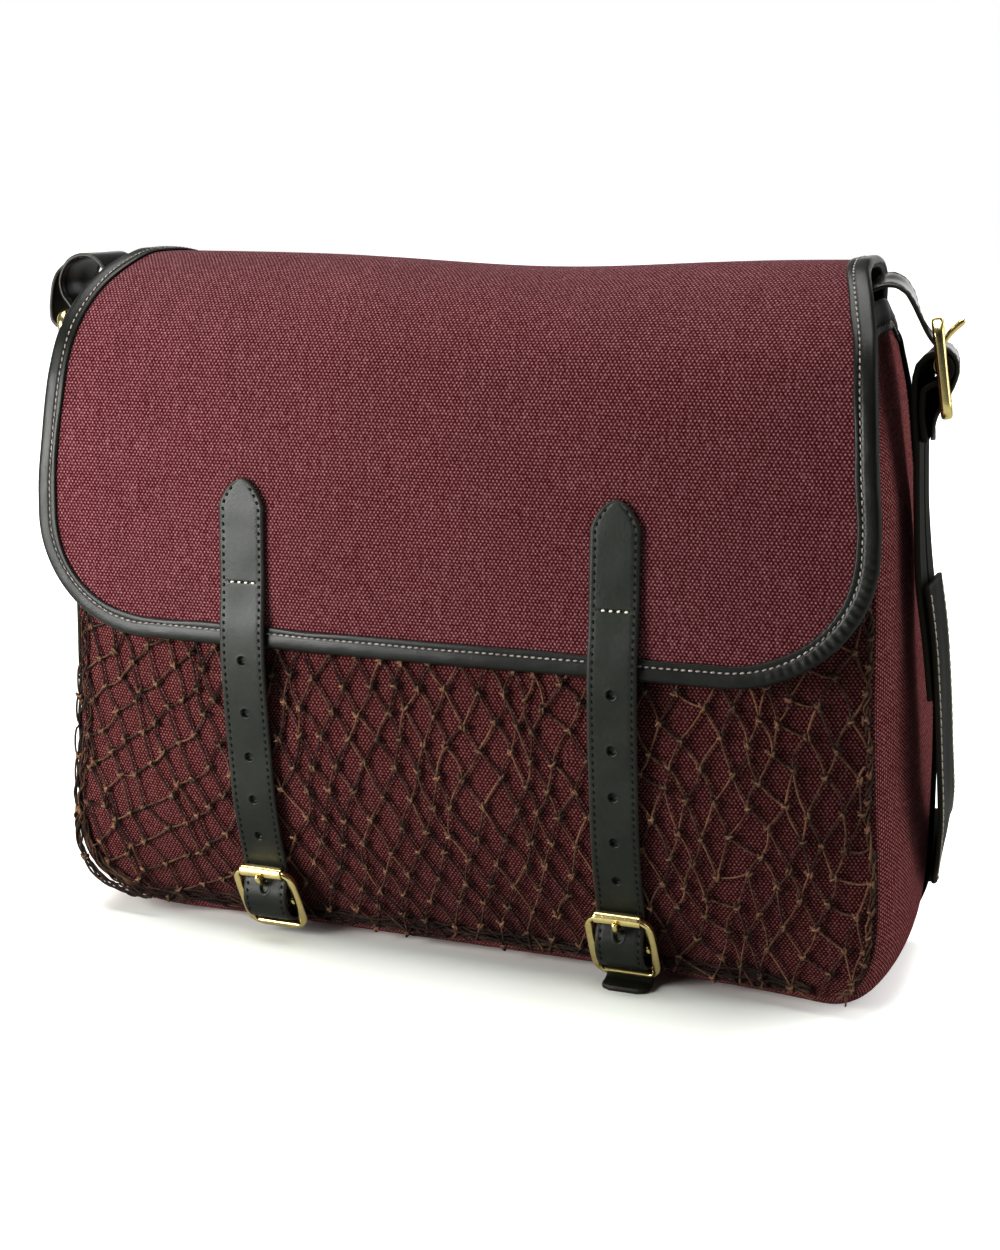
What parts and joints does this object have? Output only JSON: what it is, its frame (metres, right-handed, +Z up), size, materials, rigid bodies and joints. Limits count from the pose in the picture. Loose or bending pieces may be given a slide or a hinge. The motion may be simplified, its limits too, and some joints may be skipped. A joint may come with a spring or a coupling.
{
  "type": "hunting game bag",
  "caption": "Canvas game bag with a leather-bound flap, strap-and-buckle closure, a knotted net over the front and a leather shoulder strap.",
  "frame": {"origin": "middle of the flat bottom, on the floor", "axes": "+X to the right seen from the front, +Y to the back, +Z up"},
  "size_m": [0.4683, 0.2553, 0.3488],
  "materials": {
    "canvas": "coarse two-tone weave, matt, burgundy",
    "leather": "smooth, waxed, soft sheen, near black with a green-brown cast",
    "brass": "cast and polished",
    "cord": "twisted waxed cord, brown, matt"
  },
  "bodies": {
    "root": {"back_panel": "canvas", "back_piping": "leather", "flap": "canvas", "flap_binding": "leather", "front_buckle_left": "brass", "front_buckle_right": "brass", "front_chape_left": "leather", "front_chape_right": "leather", "front_panel": "canvas", "front_prong_left": "brass", "front_prong_right": "brass", "front_roller_left": "brass", "front_roller_right": "brass", "front_strap_left": "leather", "front_strap_right": "leather", "gusset": "canvas", "gusset_binding_left": "leather", "gusset_binding_right": "leather", "net_pocket": "cord", "shoulder_strap": "leather", "side_billet_left": "leather", "side_billet_right": "leather", "side_buckle_left": "brass", "side_buckle_right": "brass", "side_chape_left": "leather", "side_chape_right": "leather", "side_prong_left": "brass", "side_prong_right": "brass"}
  },
  "joints": []
}
